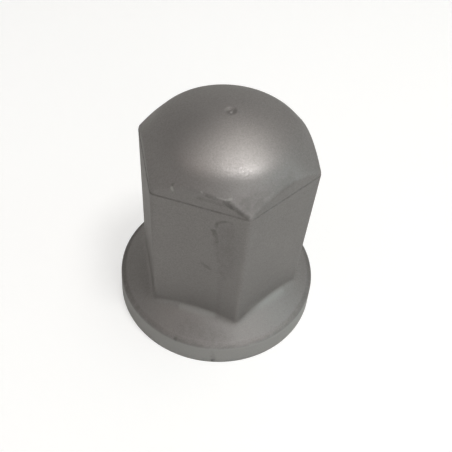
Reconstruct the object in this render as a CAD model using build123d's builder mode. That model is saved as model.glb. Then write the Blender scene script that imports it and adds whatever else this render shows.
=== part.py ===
"""Wheel nut cover cap: one moulded plastic piece that is pushed over a wheel nut.

The cap is a drafted hexagon sleeve with a domed top and a flared skirt.
Inside it has a hexagon socket with slim grip ribs, and a round recess that
clears the washer under the nut.

Frame: millimetres, +Z up, origin at the centre of the seating face of the rim.
Two corners of the hexagon lie on the X axis, and two flats face along Y.
"""

import math
import os

from build123d import *

# Nut and how it is held
nut_across_flats = 33.0
nut_clearance = 0.7  # across flats, at the mouth of the socket
grip_interference = 0.2  # the ribs stand this much closer than the flats of the nut
wall = 2.5

# Sleeve
corner_height = 49.5  # where the dome meets the corners of the hexagon
corner_round = 1.1
sleeve_draft = 0.2  # degrees, below the parting line
parting_drop = 0.6  # parting line below the corners of the dome
parting_ledge = 0.1  # step in the flats at the parting line
upper_draft = 1.0  # degrees, above the parting line

# Dome
dome_rise = 10.6  # apex above the corners
shoulder_slope = 48.0  # degrees below level
crown_margin = 3.0  # the crown meets the shoulder this far inside the flats
blend_margin = 1.8  # the rounding between them ends this far inside the flats
crease_round = 1.0

# Skirt and rim
flange_overhang = 5.15  # rim foot beyond the corners of the hexagon
rim_height = 6.7
rim_lean = 0.35  # rim top inside rim foot
rim_land = 0.7  # narrow level strip between rim and skirt
rim_chamfer = 0.4
rim_wall = 2.75
skirt_slope = 34.0  # degrees below level
skirt_fillet = 2.0

# Socket and washer recess
socket_draft = 0.15  # degrees
rib_width = 1.6
rib_start = 13.0  # lower end of the grip ribs above the seating face
rib_lead = 3.0  # length of their lead-in

# Sprue gate on the apex
gate_diameter = 2.6
gate_depth = 0.45
gate_stub_diameter = 0.8
gate_stub_height = 0.35

# Sizes that follow
cap_height = corner_height + dome_rise
parting_height = corner_height - parting_drop
corner_ratio = 1 / math.cos(math.radians(30))  # corner radius over flat distance
socket_apothem = (nut_across_flats + nut_clearance) / 2
sleeve_apothem = socket_apothem + wall
sleeve_taper = parting_height * math.tan(math.radians(sleeve_draft))
upper_apothem = sleeve_apothem - sleeve_taper - parting_ledge
dome_foot_radius = upper_apothem * corner_ratio
flange_radius = sleeve_apothem * corner_ratio + flange_overhang
rim_top_radius = flange_radius - rim_lean
skirt_foot_radius = rim_top_radius - rim_land
skirt_fall = math.tan(math.radians(skirt_slope))
recess_radius = flange_radius - rim_wall
rib_tip_radius = (nut_across_flats - grip_interference) / 2
rib_rise = socket_apothem - rib_tip_radius
gate_ball_radius = (gate_diameter**2 / 4 + gate_depth**2) / (2 * gate_depth)
gate_floor = cap_height - gate_depth

# How round solids are set down
stand = (Align.CENTER, Align.CENTER, Align.MIN)
hang = (Align.CENTER, Align.CENTER, Align.MAX)
on_side = (90, 0, 0)  # the poles of a ball lie level, away from the axis of the cap


def skirt_top(radius):
    """Height of the outside of the skirt at a radius."""
    return rim_height + (skirt_foot_radius - radius) * skirt_fall


def skirt_ceiling(radius):
    """Height of the inside of the skirt at a radius, one wall below the outside."""
    return skirt_top(radius) - wall / math.cos(math.radians(skirt_slope))


# The dome: a cone over the corners of the hexagon, with part of a ball for its crown
shoulder_angle = math.radians(shoulder_slope)
shoulder_fall = math.tan(shoulder_angle)
shoulder_height = flange_radius * shoulder_fall  # from the foot of the cone to its tip
shoulder_foot = corner_height + dome_foot_radius * shoulder_fall - shoulder_height
crown_reach = upper_apothem - crown_margin
crown_drop = dome_rise - (dome_foot_radius - crown_reach) * shoulder_fall
crown_radius = (crown_reach**2 + crown_drop**2) / (2 * crown_drop)
crown_centre = cap_height - crown_radius

# The rounding between crown and shoulder touches the shoulder at the blend margin
blend_end = upper_apothem - blend_margin
blend_foot = corner_height + (dome_foot_radius - blend_end) * shoulder_fall
blend_rise = blend_foot - crown_centre
blend_lift = blend_end * math.sin(shoulder_angle) + blend_rise * math.cos(shoulder_angle)
dome_blend = (crown_radius**2 - blend_end**2 - blend_rise**2) / (2 * (crown_radius - blend_lift))
with BuildPart() as dome:
    with Locations((0, 0, shoulder_foot)):
        Cone(flange_radius, 0, shoulder_height, align=stand)
    with Locations((0, 0, crown_centre)):
        Sphere(crown_radius, rotation=on_side, mode=Mode.INTERSECT)
    crown_edge = dome.edges().filter_by(GeomType.CIRCLE).filter_by(Plane.XY).sort_by(Axis.Z)[-1]
    fillet(crown_edge, dome_blend)
    Cylinder(flange_radius, shoulder_foot, align=stand)

# The ceiling of the socket lies one wall inside the dome
ceiling_foot = shoulder_foot - wall / math.cos(shoulder_angle)
with BuildPart() as ceiling:
    with Locations((0, 0, ceiling_foot)):
        Cone(flange_radius, 0, shoulder_height, align=stand)
    with Locations((0, 0, crown_centre)):
        Sphere(crown_radius - wall, rotation=on_side, mode=Mode.INTERSECT)
    Cylinder(flange_radius, ceiling_foot, align=stand)

# One grip rib, with its crest on the axis and a slope at its lower end to let the nut in
with BuildPart() as rib:
    with BuildSketch(Plane.XZ):
        with BuildLine():
            Polyline(
                (0, rib_start + rib_lead),
                (0, cap_height),
                (wall, cap_height),
                (wall, rib_start),
                (rib_rise, rib_start),
                close=True,
            )
        make_face()
    extrude(amount=rib_width / 2, both=True)

# Mould core: the hollow of the cap, with a slot for each grip rib
with BuildPart() as core:
    with BuildSketch():
        RegularPolygon(socket_apothem, 6, major_radius=False)
    extrude(amount=cap_height, taper=socket_draft)
    add(ceiling.part, mode=Mode.INTERSECT)
    with PolarLocations(rib_tip_radius, 6, start_angle=30):
        add(rib.part, mode=Mode.SUBTRACT)
    with BuildSketch(Plane.XZ):
        with BuildLine():
            Polyline(
                (0, 0),
                (recess_radius, 0),
                (recess_radius, skirt_ceiling(recess_radius)),
                (0, skirt_ceiling(0)),
                close=True,
            )
        make_face()
    revolve(axis=Axis.Z)

# The cap: sleeve, dome, skirt and gate, less the core
with BuildPart() as nut_cap:
    with BuildSketch():
        RegularPolygon(sleeve_apothem, 6, major_radius=False)
    extrude(amount=parting_height, taper=sleeve_draft)
    sleeve_corners = nut_cap.edges().filter_by(Plane.XY, reverse=True)
    fillet(sleeve_corners, corner_round)
    with BuildSketch(Plane.XY.offset(parting_height)) as upper_section:
        RegularPolygon(upper_apothem, 6, major_radius=False)
        fillet(upper_section.vertices(), corner_round)
    extrude(amount=cap_height - parting_height, taper=upper_draft)

    # The dome trims the top of the sleeve and leaves an arched crease on each flat
    add(dome.part, mode=Mode.INTERSECT)
    creases = (
        nut_cap.edges()
        .filter_by_position(Axis.Z, corner_height - parting_drop / 2, blend_foot, inclusive=(False, False))
        .filter_by(lambda edge: edge.geom_type not in (GeomType.LINE, GeomType.CIRCLE))
        .filter_by(lambda edge: edge.length < flange_radius)
    )
    fillet(creases, crease_round)

    # The skirt flares from the sleeve to the rim
    with BuildSketch(Plane.XZ):
        with BuildLine():
            Polyline(
                (0, 0),
                (flange_radius, 0),
                (rim_top_radius, rim_height),
                (skirt_foot_radius, rim_height),
                (0, skirt_top(0)),
                close=True,
            )
        make_face()
    revolve(axis=Axis.Z)
    skirt_joint = (
        nut_cap.edges()
        .filter_by_position(Axis.Z, rim_height, skirt_top(0), inclusive=(False, False))
        .filter_by(lambda edge: edge.geom_type not in (GeomType.LINE, GeomType.CIRCLE))
    )
    fillet(skirt_joint, skirt_fillet)
    rim_edge = (
        nut_cap.edges()
        .filter_by(GeomType.CIRCLE)
        .filter_by_position(Axis.Z, rim_height, rim_height)
        .sort_by(SortBy.RADIUS)[-1]
    )
    chamfer(rim_edge, rim_chamfer)

    # The gate leaves a dimple with a broken stub in it
    with Locations((0, 0, gate_floor + gate_ball_radius)):
        Sphere(gate_ball_radius, mode=Mode.SUBTRACT)
    with Locations((0, 0, gate_floor + gate_stub_height)):
        Cylinder(gate_stub_diameter / 2, gate_stub_height + wall / 2, align=hang)
    add(core.part, mode=Mode.SUBTRACT)

nut_cap.part.label = "nut_cap"

os.makedirs("parts", exist_ok=True)
export_step(nut_cap.part, "parts/nut_cap.step")
print(f"nut_cap {nut_cap.part.volume / 1000:.2f} cm3, recess radius {recess_radius:.3f} mm")
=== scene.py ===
import math

import bpy
from mathutils import Matrix, Vector

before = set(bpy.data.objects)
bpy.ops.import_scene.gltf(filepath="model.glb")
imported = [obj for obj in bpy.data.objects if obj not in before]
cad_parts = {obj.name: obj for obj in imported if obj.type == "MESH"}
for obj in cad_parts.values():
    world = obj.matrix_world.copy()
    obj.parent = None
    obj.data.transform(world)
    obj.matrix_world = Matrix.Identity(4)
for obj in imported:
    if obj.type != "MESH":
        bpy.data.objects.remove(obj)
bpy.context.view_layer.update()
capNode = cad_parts["nut_cap"]
print("frame loaded:", sorted(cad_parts))

mm = 0.001  # sizes of the cap and its marks are in millimetres, Blender works in metres


def hexToLinear(code):
    parts = [int(code[k:k + 2], 16) / 255 for k in (1, 3, 5)]
    linear = [p / 12.92 if p <= 0.04045 else ((p + 0.055) / 1.055) ** 2.4 for p in parts]
    return (*linear, 1.0)


def addNode(tree, kind, settings, links):
    node = tree.nodes.new(kind)
    for name, value in settings.items():
        if isinstance(name, int) or name in node.inputs:
            node.inputs[name].default_value = value  # a socket, by its place or name
        else:
            setattr(node, name, value)
    for socket, source in links.items():
        tree.links.new(source, node.inputs[socket])
    return node


# Polypropylene filled with aluminium flake, injection moulded in a spark-eroded tool:
# a warm silver grey with a satin sheen, fine sandy grain and faint clouds where the melt flowed
plasticLook = {
    "grey": "#9b9896",
    "cloudGrey": "#93908e",
    "cloudMm": 9.0,
    "cloudDetail": 4.0,
    "metallic": 0.8,
    "roughness": 0.5,
    "flakeMm": 0.27,  # real flakes are a tenth of this, drawn this coarse so that they show
    "flakeTint": 0.028,  # how far a flake is paler or darker than the rest
    "flakeGloss": 0.04,  # and how much smoother or duller
    "grainMm": 0.36,  # the tool's grain is finer too
    "grainDetail": 2.0,
    "grainDepthMm": 0.03,
    "edgeSoftMm": 1.1,  # how far the eye sees an edge rounded: creases and corners
    "rimSoftMm": 2.0,  # and the worn edge of the rim
    "rimZoneMm": (7.2, 8.6),  # heights between which the one gives way to the other
    "edgeSamples": 6,  # rays that feel for an edge
    # colour of the stains, and of the painted shade
    "stainAndShade": "#3d3a37",
    "stainAndShadeDulling": 0.35,  # roughness that full stains and painted shade add
    "stainAndShadePatches": (0.3, 0.6),  # noise between which the stains and painted shade go from thin to full
    "stainAndShadeThin": 0.45,  # share of the stains and painted shade that is left where they are thin
    "scratch": "#d9d7d3",
    "wobbleMm": 0.45,  # how far the outlines of stains and painted shade wander
    "wobbleSizeMm": 1.4,
    "paintedLight": "#adacaa",  # painted light: the paler rim and the highlights in the fillets
}

# Stains and scuffs on the front and the gate, and painted shade on the skirt, over the dome's front corner
# and in the gate's dimple: where each runs, its full and outer half width, and how dark
stainAndShadeMarks = [
    {"start": (-2.4, -18.6, 53.2), "end": (1.4, -19.0, 52.7), "core": 0.1, "reach": 0.7, "strength": 0.12},
    {"start": (1.4, -19.0, 52.7), "end": (5.2, -18.8, 52.2), "core": 0.1, "reach": 0.7, "strength": 0.25},
    {"start": (-0.3, -19.0, 51.3), "end": (5.8, -19.0, 51.5), "core": 0.1, "reach": 0.7, "strength": 0.15},
    {"start": (5.2, -18.8, 52.2), "end": (7.6, -19.0, 51.0), "core": 0.3, "reach": 1.0, "strength": 0.45},
    {"start": (7.6, -19.0, 51.0), "end": (10.2, -19.0, 49.7), "core": 0.2, "reach": 0.9, "strength": 0.35},
    {"start": (-6.3, -18.2, 52.5), "end": (-6.1, -18.2, 52.5), "core": 0.1, "reach": 0.5, "strength": 0.3},
    {"start": (3.8, -19.2, 44.6), "end": (4.4, -19.2, 46.0), "core": 0.1, "reach": 0.7, "strength": 0.28},
    {"start": (4.4, -19.2, 46.0), "end": (5.8, -19.2, 46.9), "core": 0.1, "reach": 0.7, "strength": 0.28},
    {"start": (5.8, -19.2, 46.9), "end": (7.2, -19.2, 46.7), "core": 0.1, "reach": 0.7, "strength": 0.15},
    {"start": (3.4, -19.2, 43.0), "end": (4.0, -19.2, 41.3), "core": 0.2, "reach": 0.9, "strength": 0.32},
    {"start": (4.0, -19.2, 41.3), "end": (4.2, -19.2, 39.8), "core": 0.2, "reach": 0.8, "strength": 0.3},
    {"start": (4.2, -19.2, 39.8), "end": (5.2, -19.2, 32.6), "core": 0.2, "reach": 1.2, "strength": 0.12},
    {"start": (6.4, -19.2, 44.0), "end": (7.0, -19.2, 30.0), "core": 0.5, "reach": 3.4, "strength": 0.12},
    {"start": (1.4, -19.2, 30.7), "end": (3.0, -19.2, 29.6), "core": 0.1, "reach": 0.8, "strength": 0.2},
    {"start": (5.6, -19.2, 30.0), "end": (7.0, -19.2, 27.3), "core": 0.2, "reach": 1.2, "strength": 0.14},
    {"start": (5.8, -19.2, 30.3), "end": (6.1, -19.6, 10.9), "core": 0.1, "reach": 1.1, "strength": 0.08},
    {"start": (6.1, -19.6, 10.9), "end": (6.8, -24.8, 7.2), "core": 0.1, "reach": 0.9, "strength": 0.08},
    {"start": (6.8, -24.8, 7.2), "end": (7.8, -26.4, 0.6), "core": 0.2, "reach": 1.2, "strength": 0.2},
    {"start": (7.7, -26.3, 1.2), "end": (7.8, -26.4, 0.2), "core": 0.2, "reach": 0.8, "strength": 0.5},
    # painted shade: darkens the front of the skirt, below the two front flats
    {"start": (-1.0, -23.7, 8.4), "end": (9.0, -22.7, 8.1), "core": 0.5, "reach": 4.5, "strength": 0.16},
    {"start": (-2.6, -26.7, 6.5), "end": (-2.4, -26.7, 6.5), "core": 0.2, "reach": 0.9, "strength": 0.42},
    # painted shade in the back of the gate's dimple
    {"start": (-0.3, 0.5, 59.7), "end": (0.3, 0.5, 59.7), "core": 0.6, "reach": 1.3, "strength": 0.3},
    # painted shade over the dome's front corner and along its right-hand crease
    {"start": (9.9, -17.6, 51.6), "end": (11.6, -16.2, 52.4), "core": 0.5, "reach": 3.6, "strength": 0.28},
    {"start": (12.0, -15.7, 52.8), "end": (16.6, -9.1, 53.8), "core": 0.4, "reach": 2.8, "strength": 0.22},
]

# Darkening that goes all round, as radius, 0 and height: along the parting line, and painted shade in the
# crease where the skirt meets the rim
partingLineAndCreaseShade = [
    {"start": (18.9, 0, 48.9), "end": (22.4, 0, 48.9), "core": 0.05, "reach": 0.3, "strength": 0.16},
    # painted shade in the crease where the skirt meets the rim
    {"start": (26.3, 0, 6.8), "end": (26.8, 0, 6.5), "core": 0.2, "reach": 0.9, "strength": 0.2},
]

# Painted light: the outside of the rim painted paler, as the floor close by lights it
paintedRimLight = [
    {"start": (27.5, 0, 0.0), "end": (27.3, 0, 5.4), "core": 0.4, "reach": 1.4, "strength": 1.0},
]
# Painted highlights in the concave fillets at the foot of the two front flats
paintedFilletHighlights = [
    {"start": (-3.5, -19.8, 10.9), "end": (5.0, -19.7, 11.5), "core": 0.2, "reach": 1.3, "strength": 0.5},
    {"start": (13.5, -15.2, 12.4), "end": (19.5, -6.0, 10.6), "core": 0.4, "reach": 2.2, "strength": 0.35},
]

# Bright scratches and nicks, where the skin of the moulding is broken
scratchMarks = [
    {"start": (3.5, -18.8, 52.7), "end": (5.2, -18.6, 52.5), "core": 0.05, "reach": 0.3, "strength": 0.18},
    {"start": (5.2, -18.6, 52.5), "end": (6.3, -18.1, 52.7), "core": 0.1, "reach": 0.35, "strength": 0.25},
    {"start": (0.1, -18.75, 53.1), "end": (0.4, -18.75, 52.9), "core": 0.05, "reach": 0.3, "strength": 0.3},
    {"start": (-6.3, -18.8, 52.0), "end": (-6.0, -18.8, 51.6), "core": 0.1, "reach": 0.45, "strength": 0.4},
]


def markMask(tree, place, marks):
    total = None
    for mark in marks:
        start = Vector(mark["start"]) * mm
        run = Vector(mark["end"]) * mm - start
        away = addNode(tree, "ShaderNodeVectorMath", {"operation": "SUBTRACT", 1: start}, {0: place})
        along = addNode(
            tree,
            "ShaderNodeVectorMath",
            {"operation": "DOT_PRODUCT", 1: run / run.length_squared},
            {0: away.outputs["Vector"]},
        )
        share = addNode(tree, "ShaderNodeClamp", {}, {"Value": along.outputs["Value"]})
        nearest = addNode(
            tree, "ShaderNodeVectorMath", {"operation": "SCALE", 0: run}, {"Scale": share.outputs[0]}
        )
        gap = addNode(
            tree,
            "ShaderNodeVectorMath",
            {"operation": "DISTANCE"},
            {0: away.outputs["Vector"], 1: nearest.outputs["Vector"]},
        )
        fade = addNode(
            tree,
            "ShaderNodeMapRange",
            {
                "interpolation_type": "SMOOTHSTEP",
                "From Min": mark["core"] * mm,
                "From Max": mark["reach"] * mm,
                "To Min": mark["strength"],
                "To Max": 0.0,
            },
            {"Value": gap.outputs["Value"]},
        ).outputs[0]
        if total is None:
            total = fade
        else:
            total = addNode(
                tree, "ShaderNodeMath", {"operation": "MAXIMUM"}, {0: total, 1: fade}
            ).outputs[0]
    return total


def mouldedPlastic(look):
    material = bpy.data.materials.new("silver_polypropylene_moulded")
    material.use_nodes = True
    tree = material.node_tree
    tree.nodes.clear()
    place = addNode(tree, "ShaderNodeTexCoord", {}, {}).outputs["Object"]

    # stains and painted shade are looked up a little off their place, so that their outlines wander
    wander = addNode(
        tree, "ShaderNodeTexNoise", {"Scale": 1 / (look["wobbleSizeMm"] * mm)}, {"Vector": place}
    )
    offset = addNode(
        tree,
        "ShaderNodeVectorMath",
        {"operation": "SUBTRACT", 1: (0.5, 0.5, 0.5)},  # noise swings about a half
        {0: wander.outputs["Color"]},
    )
    shifted = addNode(
        tree,
        "ShaderNodeVectorMath",
        {"operation": "MULTIPLY_ADD", 1: (2 * look["wobbleMm"] * mm,) * 3},
        {0: offset.outputs["Vector"], 2: place},
    ).outputs["Vector"]
    stainAndShade = markMask(tree, shifted, stainAndShadeMarks)
    patchy = addNode(
        tree,
        "ShaderNodeMapRange",
        {
            "From Min": look["stainAndShadePatches"][0],
            "From Max": look["stainAndShadePatches"][1],
            "To Min": look["stainAndShadeThin"],
        },
        {"Value": wander.outputs["Fac"]},
    )
    scratch = markMask(tree, place, scratchMarks)

    # what goes all round is looked up by radius and height
    parts = addNode(tree, "ShaderNodeSeparateXYZ", {}, {0: place})
    side = addNode(tree, "ShaderNodeVectorMath", {"operation": "MULTIPLY", 1: (1, 1, 0)}, {0: place})
    radius = addNode(tree, "ShaderNodeVectorMath", {"operation": "LENGTH"}, {0: side.outputs["Vector"]})
    profile = addNode(
        tree, "ShaderNodeCombineXYZ", {}, {"X": radius.outputs["Value"], "Z": parts.outputs["Z"]}
    ).outputs[0]
    ring = markMask(tree, profile, partingLineAndCreaseShade)
    # the stains and the painted shade together, thinned in patches
    dirtAndShade = addNode(tree, "ShaderNodeMath", {"operation": "MAXIMUM"}, {0: stainAndShade, 1: ring}).outputs[0]
    dirtAndShade = addNode(
        tree, "ShaderNodeMath", {"operation": "MULTIPLY"}, {0: dirtAndShade, 1: patchy.outputs[0]}
    ).outputs[0]
    # painted light: the highlights in the fillets and the paler rim
    paintedLightMask = markMask(tree, place, paintedFilletHighlights)
    rim = markMask(tree, profile, paintedRimLight)
    paintedLightMask = addNode(tree, "ShaderNodeMath", {"operation": "MAXIMUM"}, {0: paintedLightMask, 1: rim}).outputs[0]

    # colour: two near greys in clouds, then the flakes, the painted light on the rim and fillets, the
    # stains and painted shade, and the scratches
    # (sockets 6 and 7 of a colour mix are its two colours, and its output 2 is the result)
    cloud = addNode(
        tree,
        "ShaderNodeTexNoise",
        {"Scale": 1 / (look["cloudMm"] * mm), "Detail": look["cloudDetail"]},
        {"Vector": place},
    )
    colour = addNode(
        tree,
        "ShaderNodeMix",
        {"data_type": "RGBA", 6: hexToLinear(look["grey"]), 7: hexToLinear(look["cloudGrey"])},
        {0: cloud.outputs["Fac"]},
    ).outputs[2]
    flake = addNode(
        tree, "ShaderNodeTexVoronoi", {"Scale": 1 / (look["flakeMm"] * mm)}, {"Vector": place}
    ).outputs["Color"]
    glint = addNode(
        tree,
        "ShaderNodeMapRange",
        {"To Min": 1 - 2 * look["flakeTint"], "To Max": 1 + 2 * look["flakeTint"]},
        {"Value": flake},
    )
    colour = addNode(
        tree, "ShaderNodeVectorMath", {"operation": "SCALE"}, {0: colour, "Scale": glint.outputs[0]}
    ).outputs["Vector"]
    for mask, tint in ((paintedLightMask, look["paintedLight"]), (dirtAndShade, look["stainAndShade"]), (scratch, look["scratch"])):
        colour = addNode(
            tree, "ShaderNodeMix", {"data_type": "RGBA", 7: hexToLinear(tint)}, {0: mask, 6: colour}
        ).outputs[2]

    # sheen: pale flakes shine more, and the stains and painted shade dull it
    gloss = addNode(
        tree,
        "ShaderNodeMapRange",
        {
            "To Min": look["roughness"] + 2 * look["flakeGloss"],
            "To Max": look["roughness"] - 2 * look["flakeGloss"],
        },
        {"Value": flake},
    )
    dull = addNode(
        tree,
        "ShaderNodeMath",
        {"operation": "MULTIPLY_ADD", 1: look["stainAndShadeDulling"]},
        {0: dirtAndShade, 2: gloss.outputs[0]},
    )

    # surface: the grain on edges that look rounded, the rim more than the rest
    rounding = addNode(
        tree,
        "ShaderNodeMapRange",
        {
            "From Min": look["rimZoneMm"][0] * mm,
            "From Max": look["rimZoneMm"][1] * mm,
            "To Min": look["rimSoftMm"] * mm,
            "To Max": look["edgeSoftMm"] * mm,
        },
        {"Value": parts.outputs["Z"]},
    )
    grain = addNode(
        tree,
        "ShaderNodeTexNoise",
        {"Scale": 1 / (look["grainMm"] * mm), "Detail": look["grainDetail"]},
        {"Vector": place},
    )
    soft = addNode(
        tree, "ShaderNodeBevel", {"samples": look["edgeSamples"]}, {"Radius": rounding.outputs[0]}
    )
    bump = addNode(
        tree,
        "ShaderNodeBump",
        {"Strength": 1.0, "Distance": look["grainDepthMm"] * mm},
        {"Height": grain.outputs["Fac"], "Normal": soft.outputs[0]},
    )
    shader = addNode(
        tree,
        "ShaderNodeBsdfPrincipled",
        {"Metallic": look["metallic"]},
        {"Base Color": colour, "Roughness": dull.outputs[0], "Normal": bump.outputs[0]},
    )
    addNode(tree, "ShaderNodeOutputMaterial", {}, {"Surface": shader.outputs[0]})
    return material


capNode.data.materials.clear()
capNode.data.materials.append(mouldedPlastic(plasticLook))
# the count of stains takes in the patches of painted shade
print("plastic on the cap:", len(stainAndShadeMarks), "stains,", len(scratchMarks), "scratches")

# Studio bowl, in metres: a pale disc whose edge turns up all round, so that no view meets a horizon
bowl = {
    "radius": 0.38,  # of the level part
    "bend": 0.12,  # radius of the turn up into the wall
    "wall": 0.25,  # height of the wall above the turn
    "rings": 12,  # steps in the turn
    "sides": 96,
    "colour": "#bcbcba",
    "roughness": 0.9,
    "shine": 0.1,
    "glow": 0.08,
    "lift": 0.5,
}


def mattPaint(settings):
    material = bpy.data.materials.new("pale_matt_paint")
    material.use_nodes = True
    tree = material.node_tree
    tree.nodes.clear()
    # the lift takes the floor to white for the eye alone, and throws no light up at the cap
    rays = addNode(tree, "ShaderNodeLightPath", {}, {})
    glow = addNode(
        tree,
        "ShaderNodeMapRange",
        {"To Min": settings["glow"], "To Max": settings["glow"] + settings["lift"]},
        {"Value": rays.outputs["Is Camera Ray"]},
    )
    paint = addNode(
        tree,
        "ShaderNodeBsdfPrincipled",
        {
            "Base Color": hexToLinear(settings["colour"]),
            "Roughness": settings["roughness"],
            "Specular IOR Level": settings["shine"],
            "Emission Color": hexToLinear("#ffffff"),
        },
        {"Emission Strength": glow.outputs[0]},
    )
    addNode(tree, "ShaderNodeOutputMaterial", {}, {"Surface": paint.outputs[0]})
    return material


def studioBowl(settings):
    bpy.ops.object.select_all(action="DESELECT")
    bpy.ops.mesh.primitive_circle_add(
        vertices=settings["sides"], radius=settings["radius"], fill_type="NGON"
    )
    floor = bpy.context.object
    floor.name = "studio_floor"
    bpy.ops.object.mode_set(mode="EDIT")
    bpy.ops.mesh.select_mode(type="EDGE")
    bpy.ops.mesh.select_all(action="SELECT")
    reach = settings["radius"]
    height = 0.0
    steps = []
    for ring in range(1, settings["rings"] + 1):
        turn = math.radians(90) * ring / settings["rings"]
        wide = settings["radius"] + settings["bend"] * math.sin(turn)
        high = settings["bend"] * (1 - math.cos(turn))
        steps.append((wide, high))
    steps.append((steps[-1][0], settings["bend"] + settings["wall"]))
    for wide, high in steps:
        bpy.ops.mesh.extrude_edges_move(TRANSFORM_OT_translate={"value": (0, 0, high - height)})
        bpy.ops.transform.resize(value=(wide / reach, wide / reach, 1))
        reach = wide
        height = high
    bpy.ops.object.mode_set(mode="OBJECT")
    bpy.ops.object.shade_smooth()
    floor.data.materials.append(mattPaint(settings))
    floor.visible_shadow = False  # the low lamps stand outside the bowl and shine through its wall
    return floor


studioBowl(bowl)
print("studio bowl in place")

# The view of the photograph: roll in degrees, the rest in millimetres
cameraSettings = {
    "place": (23.15, -92.15, 129.45),
    "aim": (1.37, 0.32, 23.16),
    "roll": 5.73,
    "lens": 42.86,
    "sensor": 36.0,
    "nearest": 5.0,  # what is nearer than this is not drawn
}


def addCamera(settings):
    data = bpy.data.cameras.new("camera")
    camera = bpy.data.objects.new("camera", data)
    bpy.context.scene.collection.objects.link(camera)
    place = Vector(settings["place"]) * mm
    aim = Vector(settings["aim"]) * mm
    level = (aim - place).to_track_quat("-Z", "Y").to_matrix().to_4x4()
    roll = Matrix.Rotation(math.radians(settings["roll"]), 4, "Z")
    camera.matrix_world = Matrix.Translation(place) @ level @ roll
    data.lens = settings["lens"]
    data.sensor_width = settings["sensor"]
    data.clip_start = settings["nearest"] * mm
    bpy.context.scene.camera = camera


addCamera(cameraSettings)
print("camera in place")

# Soft boxes round the cap: turn from +X and rise in degrees, side in metres, strength in watts
softBoxes = [
    {"name": "key", "turn": -18, "rise": 70, "side": 0.14, "watts": 1.32, "tint": "#ffffff"},
    {"name": "top", "turn": 25, "rise": 82, "side": 0.4, "watts": 0.82, "tint": "#fffbf6"},
    {"name": "right", "turn": 30, "rise": 40, "side": 0.3, "watts": 0.09, "tint": "#e8fdff"},
    {"name": "lowRight", "turn": 0, "rise": 14, "side": 0.3, "watts": 0.39, "tint": "#e8fdff"},
    {"name": "lowFront", "turn": -50, "rise": 14, "side": 0.4, "watts": 0.62, "tint": "#ffffff"},
    {"name": "behind", "turn": 80, "rise": 63, "side": 0.3, "watts": 0.28, "tint": "#fffaf6"},
    {"name": "left", "turn": -130, "rise": 63, "side": 0.3, "watts": 0.31, "tint": "#fff1eb"},
]
boxDistance = 0.6
boxAim = Vector((0, 0, 30 * mm))  # half way up the cap
worldStrength = 0.02


def addSoftBox(box):
    data = bpy.data.lights.new(box["name"], "AREA")
    data.size = box["side"]
    data.energy = box["watts"]
    data.color = hexToLinear(box["tint"])[:3]
    lamp = bpy.data.objects.new(box["name"], data)
    bpy.context.scene.collection.objects.link(lamp)
    turn = math.radians(box["turn"])
    rise = math.radians(box["rise"])
    out = Vector((math.cos(rise) * math.cos(turn), math.cos(rise) * math.sin(turn), math.sin(rise)))
    lamp.location = boxAim + out * boxDistance
    lamp.rotation_euler = (-out).to_track_quat("-Z", "Y").to_euler()
    lamp.visible_camera = False
    data.cycles.use_multiple_importance_sampling = False  # the wall would hide the lamp from half the rays


for box in softBoxes:
    addSoftBox(box)

world = bpy.data.worlds.new("studio")
bpy.context.scene.world = world
world.use_nodes = True
background = world.node_tree.nodes["Background"]
background.inputs["Color"].default_value = hexToLinear("#ffffff")
background.inputs["Strength"].default_value = worldStrength
bpy.context.scene.view_settings.view_transform = "Standard"
print("lights on:", len(softBoxes))
